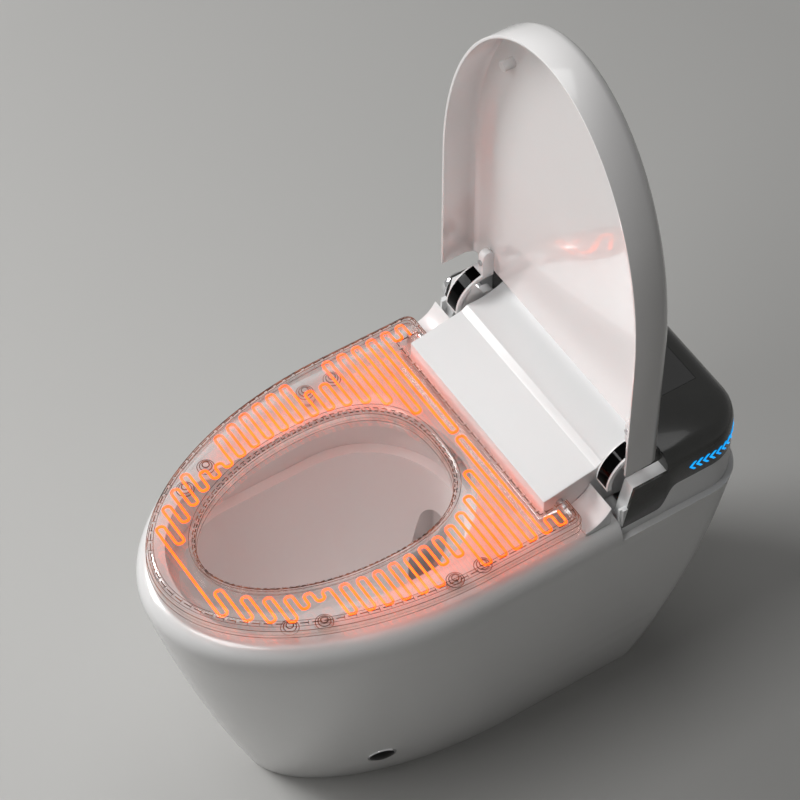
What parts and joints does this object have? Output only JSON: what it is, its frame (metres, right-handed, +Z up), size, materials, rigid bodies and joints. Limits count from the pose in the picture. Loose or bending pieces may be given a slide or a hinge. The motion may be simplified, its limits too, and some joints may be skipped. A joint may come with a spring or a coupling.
{
  "type": "bidet toilet",
  "caption": "Floor-standing skirted toilet with a built-in washing unit, heated see-through seat and deep domed lid on goose-neck hinges.",
  "frame": {"origin": "on the floor, midway between the front and the rear of the pan", "axes": "+Z up, -Y towards the front of the bowl, +Y towards the wall, +X to the right hand of a person who faces the wall"},
  "size_m": [0.38, 0.67, 0.953],
  "materials": {
    "ceramic": "glossy glaze",
    "white_plastic": "gloss",
    "lid_white": "high gloss",
    "clear_plastic": "clear gloss",
    "black_gloss": "high gloss",
    "chrome": "mirror",
    "steel": "satin",
    "rubber": "matt",
    "heater": "glowing when on",
    "light": "lit",
    "display": "gloss",
    "lens": "gloss",
    "grey_plastic": "matt",
    "circuit": "satin"
  },
  "bodies": {
    "pan": {"ceramic_body": "ceramic", "unit_base": "white_plastic", "deck_plate": "white_plastic", "nozzle_cover": "white_plastic", "rear_cover": "black_gloss", "chevron_lights_right": "light", "chevron_lights_left": "light", "display_window": "display", "seat_pins": "steel", "hinge_pins": "steel", "sensor_ring": "chrome", "sensor_lens": "lens", "nozzle_guide": "grey_plastic", "nozzle_motors": "grey_plastic", "water_heater": "grey_plastic", "inlet_valve": "grey_plastic", "control_board": "circuit", "water_inlet": "steel", "cable_gland": "grey_plastic"},
    "seat": {"seat_upper": "clear_plastic", "seat_lower": "clear_plastic", "seat_heater": "heater", "seat_bumpers": "rubber"},
    "lid": {"lid_shell": "lid_white", "lid_bumpers": "rubber", "hinge_arm_right": "white_plastic", "hinge_arm_left": "white_plastic", "hinge_band_right": "chrome", "hinge_band_left": "chrome", "lid_screws": "steel"},
    "knob": {"knob_ring": "chrome"},
    "button": {"knob_button": "white_plastic"},
    "rear_wash": {"nozzle_rear": "white_plastic", "nozzle_cap_rear": "steel"},
    "front_wash": {"nozzle_front": "white_plastic", "nozzle_cap_front": "steel"}
  },
  "joints": [
    {"name": "lid_hinge", "type": "hinge", "parent": "pan", "child": "lid", "pos_m": [0, 0.195, 0.427], "axis": [-1, 0, 0], "range_deg": [-90, 0]},
    {"name": "seat_hinge", "type": "hinge", "parent": "pan", "child": "seat", "pos_m": [0, 0.108, 0.408], "axis": [-1, 0, 0], "range_deg": [0, 95]},
    {"name": "knob_turn", "type": "hinge", "parent": "pan", "child": "knob", "pos_m": [-0.185, 0.183, 0.41], "axis": [1, 0, 0], "continuous": true},
    {"name": "knob_push", "type": "slide", "parent": "knob", "child": "button", "axis": [1, 0, 0], "range_m": [0, 0.002], "stiffness_N_per_m": 300},
    {"name": "rear_wash_slide", "type": "slide", "parent": "pan", "child": "rear_wash", "axis": [0, -0.9397, -0.342], "range_m": [0, 0.08]},
    {"name": "front_wash_slide", "type": "slide", "parent": "pan", "child": "front_wash", "axis": [0, -0.9397, -0.342], "range_m": [0, 0.08]}
  ]
}
